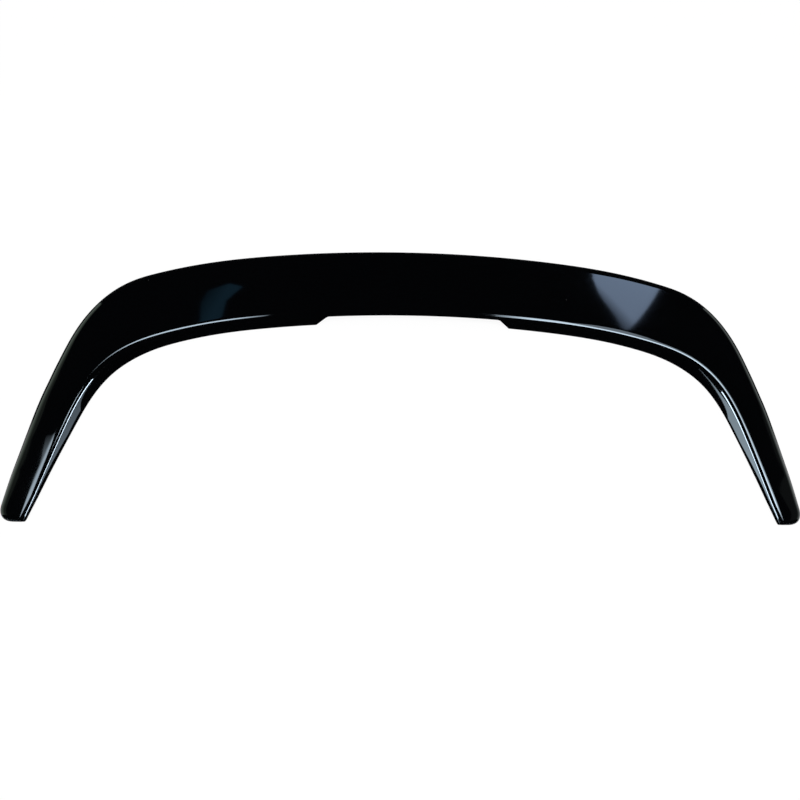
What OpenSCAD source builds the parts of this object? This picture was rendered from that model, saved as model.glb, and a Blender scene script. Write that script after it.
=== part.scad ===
// Roof spoiler for a hatchback's tailgate: one thin gloss-black moulding that follows the roof's
// rear edge and runs down both sides of the rear window. It lies open side down, with +X to the
// right across the car, +Y toward the roof and +Z outward from the car. Lengths are millimetres.
//
// The form is a loft. A crease runs the whole length of the moulding. At each station along it
// stands a section: a skin that falls outward from the crease to the outer edge, a narrow nose
// just inside the crease, and a flange that turns down from the nose to the window.

/* [Plan of the crease] */
// Length of the crease from the middle of the car to one tip
crease_length = 759; // [700:1:820]
// Radius of the shallow crown in the middle
crown_radius = 2120; // [1600:10:3000]
// Distance from the middle at which the haunch starts to turn
haunch_from = 202; // [150:1:260]
// Distance from the middle at which the haunch ends
haunch_to = 504; // [460:1:560]
// Turn of the haunch, in degrees
haunch_turn = 8.4; // [4:0.1:14]
// Distance from the middle at which the shoulder starts to turn
shoulder_from = 372; // [330:1:400]
// Distance from the middle at which the shoulder ends
shoulder_to = 625; // [590:1:660]
// Turn of the shoulder, in degrees
shoulder_turn = 48; // [38:0.5:56]

/* [Skin] */
// Width of the skin in the middle, from crease to outer edge
centre_width = 108; // [90:1:130]
// Width of the skin at the top of an arm
arm_width = 55; // [44:1:70]
// Width of the skin at the tip, before its corner is rounded
tip_width = 37; // [32:1:44]
// Distance from the middle at which the skin starts to narrow
narrow_from = 389; // [350:1:420]
// Distance from the middle at which it has the arm's width
narrow_to = 588; // [550:1:620]
// Height of the outer edge, which stands straight up from the car
edge_height = 3; // [2:0.1:4]
// Width over which the outer edge rolls over into the skin
roll_width = 12; // [8:0.5:15]
// Height of that roll in the middle
roll_centre = 4; // [3:0.1:6]
// Height of that roll on the arms
roll_arm = 7; // [5:0.1:8]
// Slope of the skin just inside the roll, as a share of its mean slope
lead_slope = 1.1; // [0.8:0.05:1.4]
// Slope of the skin at the crease in the middle, as a share of its mean slope
kick_centre = 1.4; // [1:0.05:1.8]
// Slope of the skin at the crease on the arms, where it is hollowed more
kick_arm = 2.2; // [1.4:0.05:2.6]

/* [Crease and flange] */
// Height of the crease in the middle
crease_centre = 27; // [23:0.5:32]
// Height of the crease at the shoulders
crease_shoulder = 26; // [22:0.5:32]
// Height of the crease at the top of an arm
crease_arm = 21; // [18:0.5:25]
// Height of the crease at the tips
crease_tip = 10; // [9:0.5:14]
// Width and height of the nose between the crease and the flange
nose = 4.6; // [4:0.1:5.5]
// Softening of the crease, measured along each side of it
crease_soft = 2.6; // [1.5:0.1:3.5]
// Softening of the fold between nose and flange
fold_soft = 1.6; // [1:0.1:2]
// Lean of the flange in the middle, in degrees from upright
lean_centre = 18; // [12:0.5:24]
// Lean of the flange at the shoulder, where it is greatest
lean_shoulder = 25; // [18:0.5:30]
// Lean of the flange at the tips
lean_tip = 2; // [1:0.5:8]

/* [Lamp notch] */
// Half of the notch's length along the flange's foot, for the high brake lamp
notch_half = 157; // [130:1:175]
// Length of each slanted end of the notch
notch_slant = 20; // [14:1:26]
// Depth of flange left hanging below the nose along the notch
notch_lip = 2; // [1.8:0.1:4]
// Radius of the notch's upper corners
notch_round = 9; // [4:0.5:12]

/* [Moulding] */
// Thickness of the moulded wall
wall = 3; // [2.4:0.1:3.2]
// Width of the flat land along the outer edge, which is bonded to the car
land = 8; // [6:0.5:9]
// Radius of each tip's outer corner
tip_corner = 19; // [14:0.5:20]
// Length over which each tip rolls down to its end wall
tip_roll = 5; // [4:0.5:7]

/* [Ribs] */
// Number of stiffening ribs under each half
rib_count = 6; // [4:1:8]
// Thickness of a rib where it meets the skin
rib_root = 2.2; // [1.6:0.1:3]
// Thickness of a rib along its free edge
rib_edge = 1.4; // [1:0.1:1.6]
// Height of a rib's free edge above the car
rib_clear = 4; // [3:0.5:5]
// Distance from the notch to the first rib
rib_first = 45; // [35:1:60]
// Distance from the last rib to the tip
rib_last = 70; // [50:1:100]

/* [Hidden] */
plastic = "#0c0d0f";

// The crown keeps its radius as far as the middle of the shoulder.
crown_end = (shoulder_from + shoulder_to) / 2;
// Length over which the sections turn to lie along the end of a tip.
skew_length = 110;
// Share of the height that a tip loses as it rolls down.
tip_drop = 0.35;
// The nose takes at most this share of the crease's height.
nose_share = 0.34;
// An arm at least this high has the full roll along its outer edge.
full_roll_height = 16;
// How far a cutting tool runs past the face that it cuts.
past = 1;

// Smooth step from 0 at a to 1 at b, with no kink in slope or curvature.
function ease(a, b, s) =
    let (t = min(max((s - a) / (b - a), 0), 1)) t * t * t * (t * (6 * t - 15) + 10);

// Sum of a list of numbers.
function total(list) = list * [for (n = list) 1];

// Direction of the crease at distance s from the middle, in degrees from +X.
function heading(s) =
    -(min(s, crown_end) / crown_radius * 180 / PI
      + haunch_turn * ease(haunch_from, haunch_to, s)
      + shoulder_turn * ease(shoulder_from, shoulder_to, s));

// Place of the crease in plan at distance s, walked along its direction in short steps.
function crease_at(s) =
    let (
        steps = max(1, ceil(s / 6)),
        stride = s / steps,
        turns = [for (k = [0:steps - 1]) heading((k + 0.5) * stride)]
    )
    stride * [total([for (a = turns) cos(a)]), total([for (a = turns) sin(a)])];

// Direction of a section in plan: square to the crease, then along the end of the tip.
function section_angle(s) =
    (heading(s) + 90) * (1 - ease(crease_length - skew_length, crease_length, s));

// How much of a quarter circle of radius r is used up at distance s, near a tip.
function rounding(s, r) =
    let (t = min(max((s - crease_length + r) / r, 0), 1)) 1 - sqrt(1 - t * t);

// How far distance s lies down an arm, from 0 at its top to 1 at the tip.
function arm_share(s) = pow(max(s - narrow_to, 0) / (crease_length - narrow_to), 1.5);

// Width of the skin at distance s, with the tip's outer corner rounded.
function skin_width(s) =
    centre_width
    - (centre_width - arm_width) * ease(narrow_from, narrow_to, s)
    - (arm_width - tip_width) * arm_share(s)
    - tip_corner * rounding(s, tip_corner);

// Share of the full height that stands at distance s.
function tip_share(s) = 1 - tip_drop * rounding(s, tip_roll);

// Height of the crease at distance s.
function crease_height(s) =
    tip_share(s) * (crease_centre
    - (crease_centre - crease_shoulder) * ease(haunch_from, shoulder_from, s)
    - (crease_shoulder - crease_arm) * ease(shoulder_from, shoulder_to, s)
    - (crease_arm - crease_tip) * arm_share(s));

// Width of the nose, less where an arm gets low, and the same as its height.
function nose_at(s) = min(nose, nose_share * crease_height(s));

// Lean of the flange from upright, in degrees.
function lean(s) =
    lean_centre
    + (lean_shoulder - lean_centre) * ease(shoulder_from, crown_end, s)
    - (lean_shoulder - lean_tip) * ease(crown_end, crease_length, s);

// Height of the skin at distance u outward from the crease.
function skin_height(s, u) =
    let (
        w = skin_width(s),
        share = tip_share(s),
        edge = edge_height * share,
        arm = ease(shoulder_from, shoulder_to, s),
        roll = share * (roll_centre + (roll_arm - roll_centre) * arm) * min(1, crease_height(s) / full_roll_height),
        roll_run = min(roll_width, 0.45 * w),
        kick = kick_centre + (kick_arm - kick_centre) * arm,
        v = 1 - u / w,
        q = 1 - min(1, (w - u) / roll_run)
    )
    edge + roll * sqrt(max(0, 1 - q * q))
    + (crease_height(s) - edge - roll)
      * (lead_slope * v + (3 - 2 * lead_slope - kick) * v * v + (lead_slope + kick - 2) * v * v * v);

// Points that soften the corner at b of the path a, b, c, starting and ending at the given run.
function soft(a, b, c, run, count) =
    let (p = b + run * (a - b) / norm(a - b), q = b + run * (c - b) / norm(c - b))
    [for (k = [0:count]) let (t = k / count) (1 - t) * (1 - t) * p + 2 * t * (1 - t) * b + t * t * q];

// Unit normal to the right of the way from a to b.
function right_of(a, b) = let (d = (b - a) / norm(b - a)) [d[1], -d[0]];

// Corner b of the path a, b, c, moved to the left side by t.
function inset(a, b, c, t) =
    let (m = -right_of(a, b), n = -right_of(b, c)) b + t * (m + n) / (1 + m * n);

// The section's corners in its own plane: [outward distance, height].
function skin_end(s) = let (u = 0.06 * skin_width(s)) [u, skin_height(s, u)];
function crease_point(s) = [0, crease_height(s)];
function fold_point(s) = [-nose_at(s), crease_height(s) - nose_at(s)];
function foot_point(s) = fold_point(s) - fold_point(s)[1] * [tan(lean(s)), 1];

// Outer side of the section, from the outer edge over the crease to the flange's foot.
function outer_profile(s) =
    let (w = skin_width(s), run = min(roll_width, 0.45 * w))
    concat(
        [[w, 0]],
        [for (a = [0:18:90]) let (u = w - run * (1 - cos(a))) [u, skin_height(s, u)]],
        [for (k = [1:8]) let (u = (w - run) * (1 - k / 8) + skin_end(s)[0] * k / 8) [u, skin_height(s, u)]],
        soft(skin_end(s), crease_point(s), fold_point(s), crease_soft, 4),
        soft(crease_point(s), fold_point(s), foot_point(s), fold_soft, 3),
        [foot_point(s)]
    );

// Hollow under the section, one wall inside the skin, nose and flange, and one land inside the edge.
function hollow_profile(s) =
    let (
        w = skin_width(s) - land,
        a = inset(skin_end(s), crease_point(s), fold_point(s), wall),
        b = inset(crease_point(s), fold_point(s), foot_point(s), wall),
        down = (foot_point(s) - fold_point(s)) / norm(foot_point(s) - fold_point(s)),
        c = b + down * (b[1] + past) / -down[1]
    )
    concat(
        [[w, -past]],
        [for (k = [0:6]) let (u = w * (1 - k / 6) + (a[0] + 3) * k / 6) [u, skin_height(s, u) - wall]],
        [a, b, c]
    );

// A profile set up at signed distance s along the crease.
function ring(s, profile) =
    let (p = crease_at(abs(s)), a = section_angle(abs(s)), side = s < 0 ? -1 : 1)
    [for (q = profile) [side * (p[0] + q[0] * cos(a)), p[1] + q[0] * sin(a), q[1]]];

// Distances of the stations on one half: even in the middle, closer round the shoulder,
// and closest round the tip's corner.
function half_stations(end) =
    concat(
        [for (s = [30:40:shoulder_from - 10]) s],
        [for (k = [0:18]) shoulder_from + (shoulder_to - shoulder_from) * k / 18],
        [for (k = [1:4]) shoulder_to + (crease_length - tip_corner - shoulder_to) * k / 4],
        [for (a = [18:18:90]) let (s = crease_length - tip_corner * (1 - sin(a))) if (s < end - 0.4) s],
        [end]
    );

function stations(end) =
    let (half = half_stations(end), n = len(half))
    concat([for (k = [n - 1:-1:0]) -half[k]], [0], half);

// Closed solid through a list of rings with the same number of points.
module loft(rings) {
    n = len(rings[0]);
    m = len(rings);
    points = [for (r = rings, p = r) p];
    first = [[for (k = [0:n - 1]) k]];
    last = [[for (k = [n - 1:-1:0]) (m - 1) * n + k]];
    sides = [
        for (i = [0:m - 2], k = [0:n - 1])
        let (a = i * n + k, b = i * n + (k + 1) % n)
        each [[a, a + n, b], [b, a + n, b + n]]
    ];
    polyhedron(points = points, faces = concat(first, sides, last), convexity = 6);
}

// The moulding's outside, with no hollow yet.
module outside() {
    loft([for (s = stations(crease_length)) ring(s, outer_profile(abs(s)))]);
}

// The space under it, which stops one wall short of each tip.
module hollow() {
    loft([for (s = stations(crease_length - wall)) ring(s, hollow_profile(abs(s)))]);
}

// The cut in the middle of the flange that clears the high brake lamp.
module lamp_notch() {
    top = crease_centre - nose - notch_lip;
    deep = -foot_point(0)[0] + 24;
    translate([0, -deep, 0])
        rotate([90, 0, 180])
            linear_extrude(deep)
                offset(r = notch_round, $fn = 32)
                    offset(delta = -notch_round)
                        polygon([
                            [-notch_half - notch_slant, -top],
                            [-notch_half + notch_slant, top],
                            [notch_half - notch_slant, top],
                            [notch_half + notch_slant, -top]
                        ]);
}

// One stiffening rib, thicker at its root in the skin than along its free edge. Its sides and
// its root end in the middle of the wall.
module rib(s) {
    p = crease_at(abs(s));
    side = s < 0 ? -1 : 1;
    bite = wall / 2;
    skin = skin_end(abs(s));
    crease = crease_point(abs(s));
    fold = fold_point(abs(s));
    foot = foot_point(abs(s));
    under_fold = inset(crease, fold, foot, bite);
    outer_end = skin_width(abs(s)) - land + bite;
    inner_end = under_fold[0] - tan(lean(abs(s))) * (under_fold[1] - rib_clear);
    edge = [
        [inner_end, rib_clear],
        [outer_end, rib_clear],
        [outer_end, rib_clear + 1],
        [inner_end, rib_clear + 1]
    ];
    root = concat(
        [edge[3], under_fold, inset(skin, crease, fold, bite)],
        [for (k = [1:6]) let (u = outer_end * k / 6) [u, skin_height(abs(s), u) - bite]],
        [edge[2]]
    );
    scale([side, 1, 1])
        translate([p[0], p[1], 0])
            rotate([90, 0, section_angle(abs(s))])
                hull() {
                    translate([0, 0, -rib_edge / 2]) linear_extrude(rib_edge) polygon(edge);
                    translate([0, 0, -rib_root / 2]) linear_extrude(rib_root) polygon(root);
                }
}

module ribs() {
    first = notch_half + rib_first;
    last = crease_length - rib_last;
    for (side = [-1, 1], k = [0:rib_count - 1])
        rib(side * (first + (last - first) * k / (rib_count - 1)));
}

// The whole moulding, moved so that its box is centred over the origin.
module spoiler_shell() {
    middle = (crease_at(crease_length)[1] + centre_width) / 2;
    color(plastic)
        translate([0, -middle, 0])
            union() {
                difference() {
                    outside();
                    hollow();
                    lamp_notch();
                }
                ribs();
            }
}

spoiler_shell();
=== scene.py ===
# %% [markdown]
# # A roof spoiler in black gloss
# The object is one moulding: a wide, shallow U that frames the top of a tailgate window. Seen from above it
# has a long centre blade with a slot for the high brake lamp, two shoulders that turn the corner, and two
# arms that taper down the sides of the glass. It lies as it rests, with its open side down.
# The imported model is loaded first, because every size below has to agree with it.

# %% The frame
import bpy
import numpy as np
from mathutils import Matrix, Vector


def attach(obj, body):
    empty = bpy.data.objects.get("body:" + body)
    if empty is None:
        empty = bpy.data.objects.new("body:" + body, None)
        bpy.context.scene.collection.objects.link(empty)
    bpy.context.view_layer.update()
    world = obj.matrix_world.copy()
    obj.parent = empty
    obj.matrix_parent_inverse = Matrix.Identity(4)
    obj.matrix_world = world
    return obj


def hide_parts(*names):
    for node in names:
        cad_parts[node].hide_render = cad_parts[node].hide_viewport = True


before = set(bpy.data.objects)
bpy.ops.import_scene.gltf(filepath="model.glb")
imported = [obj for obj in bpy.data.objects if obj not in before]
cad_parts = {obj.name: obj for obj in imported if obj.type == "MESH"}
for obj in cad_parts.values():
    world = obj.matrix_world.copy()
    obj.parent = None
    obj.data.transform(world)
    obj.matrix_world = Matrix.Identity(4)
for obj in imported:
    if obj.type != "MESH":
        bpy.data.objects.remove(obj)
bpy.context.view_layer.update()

# %% [markdown]
# ## The camera
# The photograph was taken from close above, almost straight down, and turned a little. A camera like that is
# made from three directions: to the camera, to its right and to its top. Setting the matrix is exact, where
# aiming with a constraint would leave the turn to be found by trial.

# %% Camera above the part
AIM = np.array([-0.0206, -0.0269, 0.0])
DISTANCE = 0.9302
AZIMUTH, ELEVATION, ROLL = np.radians([-16.738, 80.95, 17.334])
LENS, SENSOR = 26.27, 36.0


def camera_axes(azimuth, elevation, roll):
    """Unit vectors to the camera's right, to its top and back to it: level ones, turned by roll."""
    level_back = np.cos(elevation) * np.array([np.sin(azimuth), -np.cos(azimuth)])
    back = np.array([*level_back, np.sin(elevation)])
    level = np.array([np.cos(azimuth), np.sin(azimuth), 0.0])
    rise = np.cross(back, level)
    right = np.cos(roll) * level + np.sin(roll) * rise
    return right, np.cross(back, right), back


right, top, back = camera_axes(AZIMUTH, ELEVATION, ROLL)
pose = np.eye(4)
pose[:3, 0], pose[:3, 1], pose[:3, 2], pose[:3, 3] = right, top, back, AIM + DISTANCE * back
lens = bpy.data.cameras.new("studio_camera")
lens.lens, lens.sensor_width = LENS, SENSOR
camera = bpy.data.objects.new("studio_camera", lens)
camera.matrix_world = Matrix(pose.tolist())
bpy.context.scene.collection.objects.link(camera)
bpy.context.scene.camera = camera
print("camera at, m:", np.round(pose[:3, 3], 3))

# %% [markdown]
# ## The sizes
# The whole form hangs on one line: the crease, where the top skin folds down into the return flange that
# stands along the glass. Every size is a function of s, the distance along that crease from the middle, so
# one table of plain sizes in millimetres gives the whole moulding. They follow the part's own source, but the
# skin is a little fuller and the arms are up to 3 mm wider, which brings the mirrored shapes nearer to those
# in the photograph and stays inside the solid's box.

# %% Sizes of the moulding, in millimetres and degrees
CREASE_LENGTH, CROWN_RADIUS = 759.0, 2120.0
HAUNCH_FROM, HAUNCH_TO, HAUNCH_TURN = 202.0, 504.0, 8.4
SHOULDER_FROM, SHOULDER_TO, SHOULDER_TURN = 372.0, 625.0, 48.0
CROWN_END = (SHOULDER_FROM + SHOULDER_TO) / 2
SKEW_LENGTH = 110.0
CENTRE_WIDTH, ARM_WIDTH, TIP_WIDTH = 108.0, 58.0, 38.5
NARROW_FROM, NARROW_TO, TAPER_FROM, TAPER_POWER = 393.0, 576.0, 540.0, 1.2
EDGE_HEIGHT, ROLL_WIDTH, ROLL_SHARE = 3.0, 12.0, 0.45
ROLL_CENTRE, ROLL_ARM, FULL_ROLL_HEIGHT = 4.0, 7.0, 16.0
LEAD_SLOPE, CROWN_SLOPE = 1.5, 0.6
CREASE_CENTRE, CREASE_SHOULDER, CREASE_ARM, CREASE_TIP = 27.0, 26.0, 21.0, 10.0
LOW_FROM, LOW_POWER = 588.0, 1.5
NOSE, NOSE_SHARE, CREASE_SOFT, NOSE_SOFT, FOLD_SOFT = 4.6, 0.34, 6.0, 2.6, 1.6
LEAN_CENTRE, LEAN_SHOULDER, LEAN_TIP = 18.0, 25.0, 2.0
NOTCH_HALF, NOTCH_SLANT, NOTCH_LIP, NOTCH_ROUND = 157.0, 20.0, 2.0, 9.0
WALL, LAND, TIP_CORNER, TIP_ROLL, TIP_DROP = 3.0, 8.0, 25.0, 5.0, 0.35
RIM_SOFT = 0.6
print("crease from tip to tip, mm:", 2 * CREASE_LENGTH)

# %% [markdown]
# ## The crease seen from above
# The line is nearly straight over the window, has a slight bend where the blade ends and turns 48 degrees at
# each shoulder. Adding up short steps in the direction of a smooth heading gives a line without kinks,
# which matters here: a gloss surface shows every break in curvature as a bent reflection.

# %% The crease line


def ease(start, end, s):
    """0 before start and 1 after end; between them t^3 (6 t^2 - 15 t + 10), t being the share of the way."""
    t = np.clip((s - start) / (end - start), 0, 1)
    return t**3 * (t * (6 * t - 15) + 10)


def heading(s):
    """Direction of the crease at s in radians: an even bend of the crown, then the haunch's turn and the
    shoulder's.
    """
    crown = np.minimum(s, CROWN_END) / CROWN_RADIUS
    haunch = np.radians(HAUNCH_TURN) * ease(HAUNCH_FROM, HAUNCH_TO, s)
    return -(crown + haunch + np.radians(SHOULDER_TURN) * ease(SHOULDER_FROM, SHOULDER_TO, s))


def crease_at(s):
    """Place of the crease at s: the running sum of 1 mm steps, each along the heading at its own middle."""
    turn = heading(np.arange(0.5, CREASE_LENGTH))
    walk = np.vstack([[0, 0], np.cumsum(np.stack([np.cos(turn), np.sin(turn)], axis=1), axis=0)])
    return np.stack([np.interp(s, np.arange(len(walk)), walk[:, axis]) for axis in (0, 1)], axis=-1)


def section_turn(s):
    """Direction of the section at s: square to the crease, turning to lie along x at the arm's cut end."""
    return (heading(s) + np.pi / 2) * (1 - ease(CREASE_LENGTH - SKEW_LENGTH, CREASE_LENGTH, s))


MIDDLE = (crease_at(CREASE_LENGTH)[1] + CENTRE_WIDTH) / 2
print("the crease ends at, mm:", np.round(crease_at(CREASE_LENGTH), 1))

# %% [markdown]
# ## The section
# A section has a slightly domed top skin that falls from the crease to a rolled outer edge, a narrow sloping
# nose under the crease, and a flange below it. The skin's height is a cubic in the share of the width, so
# that its slope at the crease and at the edge can be chosen, and the roll is a quarter of an ellipse.

# %% Widths and heights along the crease


def rounding(s, radius):
    """0 up to the last radius of the crease, then 1 - sqrt(1 - t^2): what a round corner takes away at s."""
    t = np.clip((s - CREASE_LENGTH + radius) / radius, 0, 1)
    return 1 - np.sqrt(1 - t * t)


def way_down(s, start):
    """Share of the way from start to the end of the arm: 0 before start and 1 at the end."""
    return np.maximum(s - start, 0) / (CREASE_LENGTH - start)


def skin_width(s):
    """Width of the skin: the centre's, less an eased step to the arm's, the taper and the round corner."""
    step = (CENTRE_WIDTH - ARM_WIDTH) * ease(NARROW_FROM, NARROW_TO, s)
    taper = (ARM_WIDTH - TIP_WIDTH) * way_down(s, TAPER_FROM) ** TAPER_POWER
    return CENTRE_WIDTH - step - taper - TIP_CORNER * rounding(s, TIP_CORNER)


def tip_share(s):
    """Share of the full height that is left where the end of the arm rolls over."""
    return 1 - TIP_DROP * rounding(s, TIP_ROLL)


def crease_height(s):
    """Height of the crease: eased steps from centre to shoulder to arm, then the taper to the tip."""
    fall = (CREASE_CENTRE - CREASE_SHOULDER) * ease(HAUNCH_FROM, SHOULDER_FROM, s)
    fall = fall + (CREASE_SHOULDER - CREASE_ARM) * ease(SHOULDER_FROM, SHOULDER_TO, s)
    taper = (CREASE_ARM - CREASE_TIP) * way_down(s, LOW_FROM) ** LOW_POWER
    return tip_share(s) * (CREASE_CENTRE - fall - taper)


def roll_run(s):
    """Width of the rolled edge, which is less where the skin gets narrow."""
    return np.minimum(ROLL_WIDTH, ROLL_SHARE * skin_width(s))


def skin_height(s, u):
    """Height of the skin at u from the crease: edge + roll sqrt(1 - q^2) + what is left times a cubic in v.
    q falls from 1 to 0 across the rolled edge, and v from 1 at the crease to 0 at the edge.
    """
    w, arm = skin_width(s), ease(SHOULDER_FROM, SHOULDER_TO, s)
    edge = EDGE_HEIGHT * tip_share(s)
    full = np.minimum(1, crease_height(s) / FULL_ROLL_HEIGHT)
    roll = tip_share(s) * (ROLL_CENTRE + (ROLL_ARM - ROLL_CENTRE) * arm) * full
    v = 1 - u / w
    q = 1 - np.clip((w - u) / roll_run(s), 0, 1)
    cubic = LEAD_SLOPE * v + (3 - 2 * LEAD_SLOPE - CROWN_SLOPE) * v**2 + (LEAD_SLOPE + CROWN_SLOPE - 2) * v**3
    return edge + roll * np.sqrt(np.maximum(0, 1 - q * q)) + (crease_height(s) - edge - roll) * cubic


marks = np.array([0, NARROW_TO, CREASE_LENGTH])
print("skin width at the middle, arm and tip, mm:", np.round(skin_width(marks), 1))

# %% [markdown]
# ## Soft corners
# No moulding has a knife edge. The crease has a soft bend, longer on the skin than on the nose, and the fold
# under it a fine one. Those bends are what draw the thin bright lines in the photograph, so they are part of
# the section and not a bevel added later: their size can then fade toward the tips with the nose.

# %% Corners of the section


def unit(vectors):
    """Each vector divided by its length."""
    return vectors / np.linalg.norm(vectors, axis=-1, keepdims=True)


def toward(corner, other, run):
    """The point at run from corner on its way to the other point."""
    return corner + run * unit(other - corner)


def soft(start, corner, end, count):
    """Curve from start to end that bends round the corner: (1 - t)^2, 2 t (1 - t) and t^2 of the three."""
    t = np.linspace(0, 1, count)[:, None]
    return (1 - t) ** 2 * start[:, None] + 2 * t * (1 - t) * corner[:, None] + t**2 * end[:, None]


def inset(before, corner, after, depth):
    """The corner moved inward: depth times the sum of both sides' normals, over 1 plus their product."""
    m, n = [side[:, ::-1] * [-1, 1] for side in (unit(corner - before), unit(after - corner))]
    return corner + depth * (m + n) / (1 + np.sum(m * n, axis=1, keepdims=True))


def span(start, end, count):
    """Points evenly from start to end, both left out, for every station at once."""
    t = np.linspace(0, 1, count + 2)[1:-1, None]
    return start[:, None] * (1 - t) + end[:, None] * t


def lean(s):
    """Slant of the flange from upright, in radians: steady over the window, more at the shoulder, almost none
    at the tip.
    """
    out = LEAN_CENTRE + (LEAN_SHOULDER - LEAN_CENTRE) * ease(SHOULDER_FROM, CROWN_END, s)
    return np.radians(out - (LEAN_SHOULDER - LEAN_TIP) * ease(CROWN_END, CREASE_LENGTH, s))


def nose_at(s):
    """Width of the nose, which is its height too: less where the arm gets low."""
    return np.minimum(NOSE, NOSE_SHARE * crease_height(s))


def corners(s):
    """Skin's end, crease and fold as (u, z) for every station, and the flange's slope."""
    u = CREASE_SOFT * np.minimum(1, crease_height(s) / CREASE_ARM)
    nose = nose_at(s)
    skin_end = np.stack([u, skin_height(s, u)], axis=1)
    crease = np.stack([np.zeros_like(s), crease_height(s)], axis=1)
    fold = np.stack([-nose, crease_height(s) - nose], axis=1)
    return skin_end, crease, fold, np.tan(lean(s))


print("flange leans, degrees:", np.round(np.degrees(lean(np.array([0, CROWN_END, CREASE_LENGTH]))), 1))

# %% [markdown]
# ## The lamp slot
# The brake lamp sits in a shallow slot in the flange: a trapezoid with rounded upper corners. A boolean cut
# would leave long thin faces on a gloss surface. Here the flange simply stops higher: its foot is lifted to
# the slot's outline, so the rows of the mesh stay clean and the cut has its own flat rim.

# %% Outline of the lamp slot


def slot_height(x):
    """Height of the slot above x: the lower of its flat top and slanted end, with an arc where they meet."""
    crown = CREASE_CENTRE - NOSE - NOTCH_LIP
    slope = crown / NOTCH_SLANT
    tilt = np.hypot(1, slope)
    centre = NOTCH_HALF - (NOTCH_ROUND * tilt + crown - NOTCH_ROUND) / slope
    over = np.clip(np.abs(x) - centre, 0, NOTCH_ROUND * slope / tilt)
    arc = crown - NOTCH_ROUND + np.sqrt(NOTCH_ROUND**2 - over**2)
    return np.clip(np.minimum(arc, slope * (NOTCH_HALF - np.abs(x))), 0, crown)


print("slot height in the middle, mm:", round(float(slot_height(0.0)), 1))

# %% [markdown]
# ## One ring of the moulding
# A ring goes once round the wall: along the land that is bonded to the car, up the rear edge, over the skin,
# down the nose and the flange, and back inside. Its points are listed in the same order at every station, so
# neighbouring rings join into quads. The last rings near each tip have their inside laid flat, which closes
# the hollow with a wall like the rest.

# %% Rings


def on_flange(point, slope, height):
    """The point where the flange's line through point is at height."""
    return point - (point[:, 1:] - height) * np.hstack([slope, np.ones_like(slope)])


def outside_of_ring(s, slot):
    """Outer half of the ring: rear edge, roll, skin, crease, nose and flange, down to its foot."""
    skin_end, crease, fold, slope = corners(s)
    w, col = skin_width(s), s[:, None]
    run, fine = roll_run(s), (nose_at(s) / NOSE)[:, None]
    rear = np.stack([w, np.zeros_like(w)], axis=1)
    u = w[:, None] - run[:, None] * (1 - np.cos(np.linspace(0, np.pi / 2, 16)))
    roll = np.stack([u, skin_height(col, u)], axis=2)
    share = np.linspace(0, 1, 30)[1:-1]
    u = (w - run)[:, None] * (1 - share) + skin_end[:, :1] * share
    skin = np.stack([u, skin_height(col, u)], axis=2)
    foot = on_flange(fold, slope[:, None], slot[:, None])
    hem = soft(rear - [RIM_SOFT, 0], rear, rear + [0, RIM_SOFT], 4)
    toe = soft(toward(foot, fold, RIM_SOFT), foot, foot + [RIM_SOFT, 0], 4)
    ridge = soft(skin_end, crease, toward(crease, fold, fine * NOSE_SOFT), 11)
    bend = soft(toward(fold, crease, fine * FOLD_SOFT), fold, toward(fold, foot, fine * FOLD_SOFT), 7)
    return np.concatenate([hem, roll, skin, ridge, bend, span(bend[:, -1], toe[:, 0], 4), toe], axis=1)


def inside_of_ring(s, slot, hollow):
    """Inner half of the ring: flange, nose and skin one wall further in, then the land.
    Where hollow is 0 it lies flat, which makes the closing wall of the arm.
    """
    skin_end, crease, fold, slope = corners(s)
    slope = slope[:, None]
    foot = on_flange(fold, slope, 0)
    top, low = inset(skin_end, crease, fold, WALL), inset(crease, fold, foot, WALL)
    start = on_flange(low, slope, slot[:, None])
    land = skin_width(s) - LAND
    share = np.linspace(0, 1, 22)
    u = (top[:, :1] + WALL) * (1 - share) + land[:, None] * share
    under = np.stack([u, skin_height(s[:, None], u) - WALL], axis=2)
    end = np.stack([land, np.zeros_like(land)], axis=1)
    rows = [start[:, None], span(start, low, 3), low[:, None], top[:, None], under, end[:, None]]
    ring = np.concatenate(rows, axis=1)
    ring[:, :, 1] *= hollow[:, None]
    return ring


def to_part(s, profile):
    """Points of the part from (u, z), in metres: the crease, plus u along the section, mirrored for the other
    side.
    """
    way = section_turn(np.abs(s))
    across = np.stack([np.cos(way), np.sin(way)], axis=1)[:, None]
    plan = crease_at(np.abs(s))[:, None] + profile[:, :, :1] * across
    plan[:, :, 0] *= np.where(s < 0, -1, 1)[:, None]
    return np.concatenate([plan - [0, MIDDLE], profile[:, :, 1:]], axis=2) / 1000


SLOT_END_FROM, SLOT_END_TO, MARK_HEIGHT = 128, 162, 10


def stations():
    """Places of the rings: close at the slot's ends and the shoulders, closest at the tips, and mirrored."""
    runs = [np.linspace(0, SLOT_END_FROM, 24), np.linspace(SLOT_END_FROM, SLOT_END_TO, 24),
            np.linspace(SLOT_END_TO, SHOULDER_FROM, 34), np.linspace(SHOULDER_FROM, SHOULDER_TO, 56),
            np.linspace(SHOULDER_TO, CREASE_LENGTH - TIP_CORNER, 26)]
    turn = np.linspace(0, np.pi / 2, 22)
    runs += [CREASE_LENGTH - TIP_CORNER * (1 - np.sin(turn)), np.full(2, CREASE_LENGTH - WALL)]
    half = np.sort(np.concatenate([run[1:] if i else run for i, run in enumerate(runs[:-1])] + runs[-1:]))
    return np.concatenate([-half[:0:-1], half])


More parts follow.
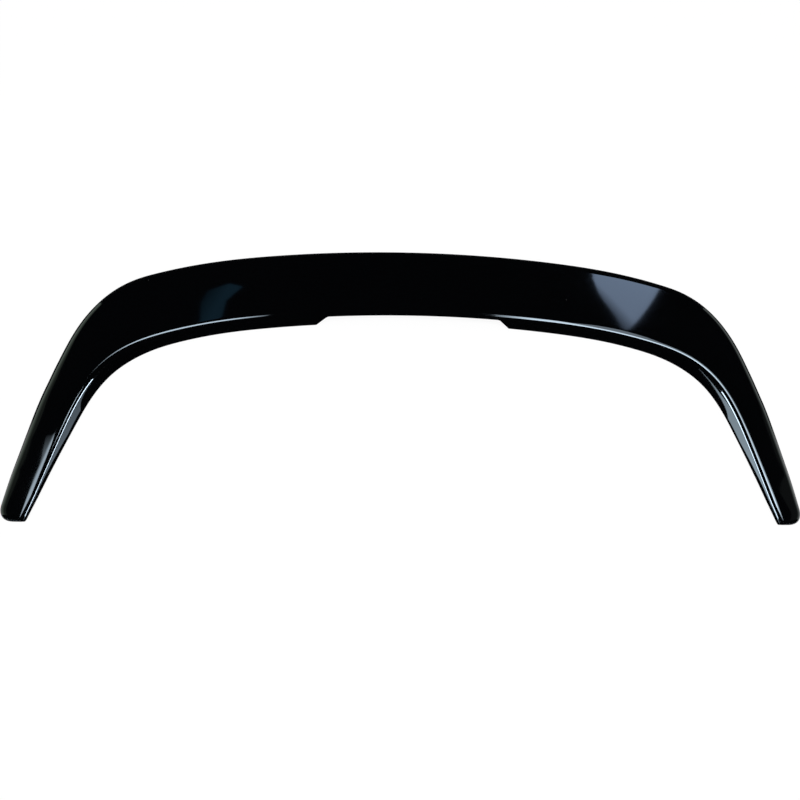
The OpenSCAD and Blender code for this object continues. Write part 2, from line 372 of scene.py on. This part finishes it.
s = stations()
last = CREASE_LENGTH - WALL
hollow = (np.abs(s) < last).astype(float)
first = np.flatnonzero(np.isclose(np.abs(s), last))
hollow[[first[1], first[2]]] = 1
mark = on_flange(corners(np.abs(s))[2], corners(np.abs(s))[3][:, None], MARK_HEIGHT)
slot = slot_height(1000 * to_part(s, mark[:, None])[:, 0, 0])
outer = outside_of_ring(np.abs(s), slot)
inner = inside_of_ring(np.abs(s), slot * (hollow > 0), hollow)
rings = to_part(s, np.concatenate([outer, inner], axis=1))
print("rings and points in each:", rings.shape[:2])

# %% [markdown]
# ## Bracing ribs
# A skin this wide would ring like a drum, so such mouldings have thin ribs across the hollow side. Each rib
# is drafted, thicker at its root than at its free edge, so that it leaves the mould. A rib is a four-cornered
# section carried across the part from the flange to the land, and its root reaches into the wall.

# %% Ribs
RIBS, RIB_ROOT, RIB_EDGE, RIB_CLEAR, RIB_FIRST, RIB_LAST = 6, 2.2, 1.4, 4.0, 45.0, 70.0
RIB_OVERLAP = 2


def rib_rings(s):
    """Root and free edge across the hollow: the root follows the middle of the wall, the edge is level."""
    skin_end, crease, fold, slope = corners(s)
    foot = on_flange(fold, slope[:, None], 0)
    top, low = inset(skin_end, crease, fold, WALL / 2), inset(crease, fold, foot, WALL / 2)
    land = skin_width(s) - LAND + RIB_OVERLAP
    share = np.linspace(0, 1, 14)
    u = (top[:, :1] + WALL) * (1 - share) + land[:, None] * share
    under = np.stack([u, skin_height(s[:, None], u) - WALL / 2], axis=2)
    root = np.concatenate([low[:, None], top[:, None], under], axis=1)
    edge = root.copy()
    edge[:, 0] = on_flange(low, slope[:, None], RIB_CLEAR)
    edge[:, 1, 0] = (edge[:, 0, 0] + edge[:, 2, 0]) / 2
    edge[:, :, 1] = RIB_CLEAR
    return root, edge


def rib_points(s, side):
    """Corners of every rib, half its thickness to each side of the section: rib, place across, corner."""
    root, edge = rib_rings(s)
    way = section_turn(s) + np.pi / 2
    off = np.stack([np.cos(way), np.sin(way)], axis=1)[:, None, None] * np.array([1, 1, -1, -1])[:, None]
    off = off * (np.array([RIB_EDGE, RIB_ROOT, RIB_ROOT, RIB_EDGE]) / 2)[:, None] / 1000
    flat = np.stack([to_part(s, row) for row in (edge, root, root, edge)], axis=2)
    flat[..., :2] += off
    flat[..., 0] *= side
    return flat if side > 0 else flat[:, :, ::-1]


rib_places = np.linspace(NOTCH_HALF + RIB_FIRST, CREASE_LENGTH - RIB_LAST, RIBS)
rib_grid = np.concatenate([rib_points(rib_places, 1), rib_points(rib_places, -1)])
print("ribs at, mm along the crease:", np.round(rib_places))

# %% [markdown]
# ## From grids to one mesh
# Both grids close in one direction. The faces of a grid are four index arrays, the same grid shifted by one
# row and by one column, so they are made all at once. The two end faces of the shell are flat, and a single
# face with many corners is enough for each.

# %% The shell's mesh


def tube_faces(rows, columns, start):
    """Quads of a grid that closes round its columns; a corner's index is start + row * columns + column."""
    row, column = np.meshgrid(np.arange(rows - 1), np.arange(columns), indexing="ij")
    here, following = row * columns + column, row * columns + (column + 1) % columns
    return start + np.stack([here, following, following + columns, here + columns], axis=-1).reshape(-1, 4)


def end_faces(rows, columns, start):
    """The first and last ring of a grid, each as one face that looks outward."""
    ring = start + np.arange(columns)
    return [ring[::-1].tolist(), (ring + (rows - 1) * columns).tolist()]


rows, columns = rings.shape[:2]
faces = tube_faces(rows, columns, 0).tolist() + end_faces(rows, columns, 0)
points = [rings.reshape(-1, 3)]
shell_points, shell_faces = rows * columns, len(faces)
for index, grid in enumerate(rib_grid):
    start = shell_points + index * grid[..., 0].size
    faces += tube_faces(*grid.shape[:2], start).tolist() + end_faces(*grid.shape[:2], start)
    points.append(grid.reshape(-1, 3))
mesh = bpy.data.meshes.new("spoiler_moulding")
mesh.from_pydata(np.concatenate(points).tolist(), [], faces)
mesh.validate()
corner = np.concatenate(points)[np.array([face[:3] for face in faces])]
volume = np.sum(np.cross(corner[:, 0], corner[:, 1]) * corner[:, 2])
print("faces:", len(mesh.polygons), " turned outward:", bool(volume > 0))

# %% [markdown]
# ## The two faces of the moulding
# The show side is polished and lacquered black; the back is bare moulded plastic with a satin face, as is
# usual, since nobody sees it once it is bonded. Which face is which follows from the column of the grid.

# %% Sides of the wall and sharp rims
SHARP_ANGLE = 38
shown = outer.shape[1]
side = np.ones(len(mesh.polygons), dtype=np.int32)
column = np.arange((rows - 1) * columns) % columns
side[: len(column)] = (column >= shown) & (column < columns - 1)
side[len(column):shell_faces] = 0
mesh.polygons.foreach_set("material_index", side)
mesh.polygons.foreach_set("use_smooth", np.ones(len(mesh.polygons), dtype=bool))
mesh.set_sharp_from_angle(angle=np.radians(SHARP_ANGLE))
moulding = bpy.data.objects.new("spoiler_moulding", mesh)
bpy.context.scene.collection.objects.link(moulding)
print("faces on the show side:", int(np.sum(side == 0)))

# %% [markdown]
# ## Surface effects shared by both sides
# Two things keep a black surface from looking like a computer's: the very slight waves that a moulded skin
# keeps, and a few specks of dust. Both are wanted on either side in different amounts, so they are one group
# with a height, a soft cloud for tone and polish, and a mask for the dust. They are read from Object
# coordinates, which stay put on the part.

# %% Group: moulded_skin
SPECK_PICK, SPECK_SIZE = 0.985, 0.035
group = bpy.data.node_groups.new("moulded_skin", "ShaderNodeTree")
for name, value in (("Wave Scale", 60.0), ("Grain Scale", 900.0), ("Grain Share", 0.1), ("Dust Amount", 0.3)):
    socket = group.interface.new_socket(name, in_out="INPUT", socket_type="NodeSocketFloat")
    socket.default_value = value
for name in ("Height", "Cloud", "Dust"):
    group.interface.new_socket(name, in_out="OUTPUT", socket_type="NodeSocketFloat")


def node(tree, kind, **settings):
    """A new node; settings that match its inputs go to those sockets, and the others to the node itself."""
    made = tree.nodes.new(kind)
    for name, value in settings.items():
        plain = name.replace("_", " ").title()
        if plain in made.inputs:
            made.inputs[plain].default_value = value
        else:
            setattr(made, name, value)
    return made


entry, leave = node(group, "NodeGroupInput"), node(group, "NodeGroupOutput")
place = node(group, "ShaderNodeTexCoord").outputs["Object"]
wave = node(group, "ShaderNodeTexNoise", detail=2.0, roughness=0.45)
grain = node(group, "ShaderNodeTexNoise", detail=3.0, roughness=0.6)
cloud = node(group, "ShaderNodeTexNoise", scale=9.0, detail=4.0, roughness=0.55)
speck = node(group, "ShaderNodeTexVoronoi", scale=85.0, randomness=1.0)
lump = node(group, "ShaderNodeMix", data_type="FLOAT")
for target in (wave, grain, cloud, speck):
    group.links.new(place, target.inputs["Vector"])
group.links.new(entry.outputs["Wave Scale"], wave.inputs["Scale"])
group.links.new(entry.outputs["Grain Scale"], grain.inputs["Scale"])
group.links.new(entry.outputs["Grain Share"], lump.inputs["Factor"])
group.links.new(wave.outputs["Fac"], lump.inputs["A"])
group.links.new(grain.outputs["Fac"], lump.inputs["B"])
group.links.new(lump.outputs["Result"], leave.inputs["Height"])
group.links.new(cloud.outputs["Fac"], leave.inputs["Cloud"])
pick = node(group, "ShaderNodeSeparateColor")
group.links.new(speck.outputs["Color"], pick.inputs["Color"])
rare = node(group, "ShaderNodeMath", operation="GREATER_THAN")
rare.inputs[1].default_value = SPECK_PICK
group.links.new(pick.outputs["Red"], rare.inputs[0])
small = node(group, "ShaderNodeMath", operation="LESS_THAN")
small.inputs[1].default_value = SPECK_SIZE
group.links.new(speck.outputs["Distance"], small.inputs[0])
both = node(group, "ShaderNodeMath", operation="MULTIPLY")
group.links.new(rare.outputs[0], both.inputs[0])
group.links.new(small.outputs[0], both.inputs[1])
dust = node(group, "ShaderNodeMath", operation="MULTIPLY")
group.links.new(both.outputs[0], dust.inputs[0])
group.links.new(entry.outputs["Dust Amount"], dust.inputs[1])
group.links.new(dust.outputs[0], leave.inputs["Dust"])
print("group sockets:", [item.name for item in group.interface.items_tree])

# %% [markdown]
# ## Finishes
# Gloss black is nearly all reflection: the colour under it is almost nothing, and what one sees is the
# studio. Its roughness wanders slightly, as polish does. The bare back has a fine grain and a broad, dull
# sheen.

# %% Materials
DUST_COLOUR, PLASTIC_IOR = (0.5, 0.48, 0.45, 1), 1.5


def plastic(name, colour, second, rough, skin, strength, distance):
    """A Principled material: colour clouds between two tones, roughness between two values, waves and grain
    as bump.
    """
    made = bpy.data.materials.new(name)
    made.use_nodes = True
    tree = made.node_tree
    shader = tree.nodes["Principled BSDF"]
    detail = node(tree, "ShaderNodeGroup", node_tree=group)
    for socket, value in skin.items():
        detail.inputs[socket].default_value = value
    tone = node(tree, "ShaderNodeMix", data_type="RGBA")
    tone.inputs["A"].default_value, tone.inputs["B"].default_value = (*colour, 1), (*second, 1)
    tree.links.new(detail.outputs["Cloud"], tone.inputs["Factor"])
    dusty = node(tree, "ShaderNodeMix", data_type="RGBA")
    dusty.inputs["B"].default_value = DUST_COLOUR
    tree.links.new(detail.outputs["Dust"], dusty.inputs["Factor"])
    tree.links.new(tone.outputs["Result"], dusty.inputs["A"])
    tree.links.new(dusty.outputs["Result"], shader.inputs["Base Color"])
    polish = node(tree, "ShaderNodeMapRange", to_min=rough[0], to_max=rough[1])
    tree.links.new(detail.outputs["Cloud"], polish.inputs["Value"])
    tree.links.new(polish.outputs["Result"], shader.inputs["Roughness"])
    bump = node(tree, "ShaderNodeBump", strength=strength, distance=distance)
    tree.links.new(detail.outputs["Height"], bump.inputs["Height"])
    tree.links.new(bump.outputs["Normal"], shader.inputs["Normal"])
    shader.inputs["IOR"].default_value = PLASTIC_IOR
    return made


gloss = plastic(
    "gloss_black_show_side", colour=(0.0003, 0.0004, 0.0006), second=(0.0006, 0.0007, 0.0010),
    rough=(0.03, 0.07), strength=0.2, distance=0.00002,
    skin={"Wave Scale": 70.0, "Grain Scale": 900.0, "Grain Share": 0.02, "Dust Amount": 0.5})
bare = plastic(
    "satin_black_back", colour=(0.010, 0.010, 0.011), second=(0.016, 0.016, 0.017),
    rough=(0.34, 0.5), strength=0.35, distance=0.0001,
    skin={"Wave Scale": 70.0, "Grain Scale": 1500.0, "Grain Share": 0.6, "Dust Amount": 0.35})
mesh.materials.append(gloss)
mesh.materials.append(bare)
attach(moulding, "root")
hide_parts("spoiler_shell")
print("materials:", [m.name for m in mesh.materials])

# %% [markdown]
# ## The floor
# The photograph's background is plain white. The floor is a pale matt board, and where a camera ray or a
# mirror-like ray meets it, most of what it sees is plain white, with a share of the lit board kept, so that
# the part still has its shadow under it.

# %% Floor
FLOOR_HALF, FLOOR_LEVEL, WHITE_SHARE = 9.0, -0.0004, 0.92
sheet = bpy.data.meshes.new("studio_floor")
square = [(-1, -1), (1, -1), (1, 1), (-1, 1)]
sheet.from_pydata([(FLOOR_HALF * x, FLOOR_HALF * y, FLOOR_LEVEL) for x, y in square], [], [(0, 1, 2, 3)])
floor = bpy.data.objects.new("studio_floor", sheet)
bpy.context.scene.collection.objects.link(floor)
board = bpy.data.materials.new("white_board")
board.use_nodes = True
tree = board.node_tree
shader = tree.nodes["Principled BSDF"]
shader.inputs["Base Color"].default_value = (0.95, 0.95, 0.95, 1)
shader.inputs["Roughness"].default_value = 0.8
white = node(tree, "ShaderNodeEmission", strength=1.0)
white.inputs["Color"].default_value = (1, 1, 1, 1)


def seen_rays(tree):
    """1 for camera, mirror-like and see-through rays, 0 for the rays that carry light between surfaces."""
    path = node(tree, "ShaderNodeLightPath")
    total = path.outputs["Is Camera Ray"]
    for name in ("Is Glossy Ray", "Is Transmission Ray"):
        most = node(tree, "ShaderNodeMath", operation="MAXIMUM")
        tree.links.new(total, most.inputs[0])
        tree.links.new(path.outputs[name], most.inputs[1])
        total = most.outputs[0]
    return total


share = node(tree, "ShaderNodeMath", operation="MULTIPLY")
share.inputs[1].default_value = WHITE_SHARE
tree.links.new(seen_rays(tree), share.inputs[0])
blend = node(tree, "ShaderNodeMixShader")
tree.links.new(share.outputs[0], blend.inputs["Fac"])
tree.links.new(shader.outputs["BSDF"], blend.inputs[1])
tree.links.new(white.outputs["Emission"], blend.inputs[2])
tree.links.new(blend.outputs["Shader"], tree.nodes["Material Output"].inputs["Surface"])
sheet.materials.append(board)
print("floor sides, m:", 2 * FLOOR_HALF)

# %% [markdown]
# ## The cards
# Every bright shape on a gloss black part is a mirrored one, so a photographer draws them with soft boxes and
# boards. A card here is one flat outline that only mirror-like rays can see: it draws its shape on the part,
# and neither the background nor the light on the floor changes. Its light can fade in along an axis, as a
# soft box's does near its rim.

# %% Card maker


def card(name, outline, height, light, colour, fades=(), faces=None):
    """A flat glowing outline at a height, or of points that have their own. A fade (axis, dark, full, least)
    takes its light from the least share at dark to all of it at full. Without faces the points make one face.
    """
    sheet = bpy.data.meshes.new(name)
    points = [(*point, height)[:3] for point in outline]
    sheet.from_pydata(points, [], faces or [tuple(range(len(points)))])
    made = bpy.data.objects.new(name, sheet)
    bpy.context.scene.collection.objects.link(made)
    made.visible_camera = made.visible_diffuse = made.visible_shadow = False
    glow = bpy.data.materials.new(name)
    glow.use_nodes = True
    tree = glow.node_tree
    tree.nodes.remove(tree.nodes["Principled BSDF"])
    lit = node(tree, "ShaderNodeEmission", strength=light)
    lit.inputs["Color"].default_value = (*colour, 1)
    tree.links.new(lit.outputs["Emission"], tree.nodes["Material Output"].inputs["Surface"])
    strength = None
    for axis, dark, full, least in fades:
        split = node(tree, "ShaderNodeSeparateXYZ")
        tree.links.new(node(tree, "ShaderNodeTexCoord").outputs["Object"], split.inputs[0])
        ramp = node(tree, "ShaderNodeMapRange", from_min=dark, from_max=full, to_min=least, to_max=1.0)
        tree.links.new(split.outputs[axis], ramp.inputs["Value"])
        product = node(tree, "ShaderNodeMath", operation="MULTIPLY")
        tree.links.new(ramp.outputs["Result"], product.inputs[0])
        product.inputs[1].default_value = light
        if strength:
            tree.links.new(strength, product.inputs[1])
        strength = product.outputs[0]
    if strength:
        tree.links.new(strength, lit.inputs["Strength"])
    sheet.materials.append(glow)



# %% [markdown]
# ## The dark room, the dark sheet with painted shade and the boards by the arms
# The walls and the ceiling are dark, as in any studio for gloss black, so the skin stays black.
# A dark sheet that only mirror-like rays see lies under the part, and a glowing pale board lies beside each
# arm:
# the flange mirrors the dark along the middle and a pale strip along each arm. Each board stops a few
# millimetres short of the foot, so the sheet shows there as a thin dark line, painted contact shade. A small
# black flag before each tip keeps its end dark, as a photographer would do it.

# %% Dark room, dark sheet and pale boards
ROOM, ROOM_HEIGHT, ROOM_LEVEL, ROOM_LIGHT = 4.0, 3.5, -0.0003, 0.01
DARK, DARK_AIR = 0.008, (0.8, 0.9, 1.0)
room_corners = [(ROOM * x, ROOM * y, z) for z in (ROOM_LEVEL, ROOM_HEIGHT) for x, y in square]
ceiling_and_walls = [(4, 5, 6, 7)] + [(k, (k + 1) % 4, (k + 1) % 4 + 4, k + 4) for k in range(4)]
card("dark_room", room_corners, 0, ROOM_LIGHT, DARK_AIR, faces=ceiling_and_walls)
DARK_SHEET_LEVEL, BOARD_LEVEL, DARK_SHEET_FRONT = -0.0002, -0.0001, -0.058
# Painted shade: a dark sheet seen only by mirror-like rays; by each arm's foot, where the boards leave it
# bare, it mirrors as contact shade.
card("mirrored_dark_sheet_and_painted_shade", [(-0.9, DARK_SHEET_FRONT), (-0.62, DARK_SHEET_FRONT), (-0.62, -2.5), (0.62, -2.5),
                    (0.62, DARK_SHEET_FRONT), (0.9, DARK_SHEET_FRONT), (0.9, 0.7), (-0.9, 0.7)],
     DARK_SHEET_LEVEL, DARK, DARK_AIR)
# The boards' inner edge stays a few millimetres off the flange's foot and leaves a strip of the dark sheet
# there as painted contact shade.
BESIDE_ARM = [(0.500, DARK_SHEET_FRONT), (0.5215, -0.092), (0.5435, -0.142), (0.5635, -0.192), (0.575, -0.3),
              (0.43, -0.3), (0.43, DARK_SHEET_FRONT)]
card("right_board", BESIDE_ARM, BOARD_LEVEL, 6.2, (0.68, 0.86, 1.0))
card("left_board", [(-x, y) for x, y in BESIDE_ARM], BOARD_LEVEL, 2.3, (0.66, 0.83, 1.0))
FLAG_FROM, FLAG_TO, FLAG_PLACE, FLAG_TOP = 0.53, 0.75, -0.25, 0.15
flag = [(FLAG_FROM, 0), (FLAG_TO, 0), (FLAG_TO, FLAG_TOP), (FLAG_FROM, FLAG_TOP)]
for side in (-1, 1):
    card(f"flag_{side + 2}", [(x * side, FLAG_PLACE, z) for x, z in flag], 0, DARK, DARK_AIR)
print("the bench ends at y, m:", DARK_SHEET_FRONT)

# %% [markdown]
# ## The air
# The world gives an even, plain light to matt surfaces, and white to every ray that meets it straight from
# the camera or by a mirror. The part itself mirrors the dark room's walls, which stand before that white.

# %% The air and the lamp maker
AMBIENT = 0.7
world = bpy.data.worlds.new("studio_air")
bpy.context.scene.world = world
world.use_nodes = True
air = world.node_tree
ambient = air.nodes["Background"]
ambient.inputs["Color"].default_value = (1, 1, 1, 1)
ambient.inputs["Strength"].default_value = AMBIENT
plain = node(air, "ShaderNodeBackground", strength=1.0)
plain.inputs["Color"].default_value = (1, 1, 1, 1)
choose = node(air, "ShaderNodeMixShader")
air.links.new(seen_rays(air), choose.inputs["Fac"])
air.links.new(ambient.outputs["Background"], choose.inputs[1])
air.links.new(plain.outputs["Background"], choose.inputs[2])
air.links.new(choose.outputs["Shader"], air.nodes["World Output"].inputs["Surface"])


def soft_box(name, place, aim, size, radiance, colour):
    """A rectangular lamp at place that looks at aim, its size in metres: watts are pi times area times
    radiance.
    """
    lamp = bpy.data.lights.new(name, "AREA")
    lamp.shape, lamp.size, lamp.size_y, lamp.color = "RECTANGLE", *size, colour
    lamp.energy = float(np.pi * size[0] * size[1] * radiance)
    box = bpy.data.objects.new(name, lamp)
    box.location = place
    box.rotation_euler = (Vector(aim) - Vector(place)).to_track_quat("-Z", "Y").to_euler()
    bpy.context.scene.collection.objects.link(box)
    return box


print("light of the air:", AMBIENT)

# %% [markdown]
# ## Lamps
# The two boxes overhead light the floor and aren't mirrored. The two low ones stand far off before the tips
# and only show as mirrored lines along the fold of each arm: mirror-like rays see them, and they light
# nothing matt.

# %% Lamps overhead and low before the tips
DAYLIGHT, NEUTRAL = (0.70, 0.86, 1.0), (1, 1, 1)
OVERHEAD_PLACE, OVERHEAD_HEIGHT, OVERHEAD_LIGHT = 0.8, 2.0, 8
for side in (-1, 1):
    above = (OVERHEAD_PLACE * side, 0, OVERHEAD_HEIGHT)
    below = (OVERHEAD_PLACE * side, 0, 0)
    soft_box(f"overhead_{side + 2}", above, below, (0.9, 0.6), OVERHEAD_LIGHT, NEUTRAL).visible_glossy = False
for name, place, aim, size, light in (
        ("low_left", (-2.02, -1.78, 0.6), (0.58, -0.12, 0), (1.1, 1.2), 38),
        ("low_right", (2.02, -1.78, 0.42), (-0.58, -0.12, 0), (1.0, 0.64), 52)):
    soft_box(name, place, aim, size, light, DAYLIGHT).visible_diffuse = False
print("lamps:", len(bpy.data.lights))

# %% [markdown]
# ## The crease's cards
# The crease mirrors what stands over it and beside it, so a long card over each shoulder draws its bright
# line. Where a line fades in or out in the photograph, the card fades there too. One more, beyond the left
# arm, draws the soft pale streak along that arm's skin.

# %% Cards over the crease and beyond the left arm
OVER_RIGHT, OVER_LEFT = 1.3, 0.4
card("over_right_crease", [(0.36, 0.22), (0.62, 0.26), (0.74, -0.05), (1, -0.1), (1.25, -0.1), (1.5, -0.45),
                           (1.45, -0.85), (0.36, -0.85)],
     OVER_RIGHT, 32, DAYLIGHT, [("X", 0.36, 0.48, 0.2), ("X", 1.25, 0.75, 0.35), ("Y", -0.3, -0.8, 0.6)])
card("beside_right_crease", [(0.66, 0.2), (0.74, 0.38), (0.86, 0.6), (1, 0.68), (1.06, 0.55), (1.02, 0.3),
                             (1.25, -0.09), (0.99, -0.09), (0.745, -0.04)],
     OVER_RIGHT, 4, DAYLIGHT)
card("over_left_crease", [(-0.29, 0.16), (-0.5, 0.14), (-0.62, 0.07), (-0.62, 0), (-0.45, 0.01),
                          (-0.29, 0.04)],
     OVER_LEFT, 17, DAYLIGHT, [("X", -0.29, -0.36, 0.2), ("X", -0.62, -0.56, 0.1)])
card("beyond_left_arm", [(-0.955, -0.04), (-0.935, -0.085), (-0.905, -0.14), (-0.895, -0.187),
                         (-0.876, -0.24), (-0.82, -0.3), (-0.7, -0.45), (-0.4, -0.52), (-0.45, -0.38),
                         (-0.56, -0.27), (-0.62, -0.2), (-0.7, -0.13), (-0.8, -0.07), (-0.86, -0.055)],
     OVER_LEFT, 10, DAYLIGHT, [("X", -0.92, -0.78, 0.22), ("Y", -0.04, -0.1, 0.1)])
print("height of the cards over the crease, m:", OVER_RIGHT, OVER_LEFT)

# %% [markdown]
# ## Windows and walls
# The blade mirrors a tall window on the right and, far fainter, a narrow one on the left. A pale wall on each
# side, brightest at the floor, is what the rolled outer edges pick up. Its top, a list of places along y and
# heights, runs down toward the blade, as the edge there shows less of it.

# %% Windows and pale walls
WINDOW_BLUE, FAR_BLUE, WINDOW_HEIGHT = (0.51, 0.69, 1.0), (0.21, 0.62, 1.0), 2.0
card("window", [(1.44, 1.12), (1.47, 1.4), (1.48, 1.7), (1.50, 1.9), (1.54, 2.1), (1.60, 2.37), (1.75, 2.8),
                (2.6, 2.87), (2.28, 2.39)],
     WINDOW_HEIGHT, 4.9, WINDOW_BLUE, [("X", 1.44, 1.58, 0.12)])
card("far_window", [(-1.10, 1.9), (-1.22, 1.75), (-1.20, 1.5), (-1.08, 1.0), (-1.0, 1.1), (-1.04, 1.5),
                    (-0.98, 1.8)],
     WINDOW_HEIGHT, 0.42, FAR_BLUE, [("X", -1.22, -1.08, 0.3)])
WALL_PLACE, WALL_BACK, WALL_FRONT, WALL_FULL = 2.2, 1.5, -1, 0.05
LEFT_TOP = [(1.5, 0.9), (0.7, 1.08), (0.16, 1.2), (0, 1.42), (-0.3, 1.62), (-1, 1.7)]
RIGHT_TOP = [(1.5, 0.6), (0.7, 0.76), (0.47, 0.85), (0.16, 0.96), (-0.03, 1.14), (-0.28, 1.5), (-1, 1.6)]
for name, x, edge, light, fade, least, colour in (
        ("left_wall", -WALL_PLACE, LEFT_TOP, 1.3, 1.1, 0.13, (0.82, 1.0, 0.84)),
        ("right_wall", WALL_PLACE, RIGHT_TOP, 1.2, 0.8, 0.07, (0.88, 1.0, 0.97))):
    outline = [(x, WALL_BACK, 0), *[(x, y, z) for y, z in edge], (x, WALL_FRONT, 0)]
    card(name, outline, 0, light, colour, [("Z", fade, WALL_FULL, least)])
print("pale walls at x, m:", -WALL_PLACE, WALL_PLACE)

# %% [markdown]
# ## Finish
# The view transform is plain, so a colour renders as it is written.

# %% Last line
bpy.context.scene.view_settings.view_transform = "Standard"
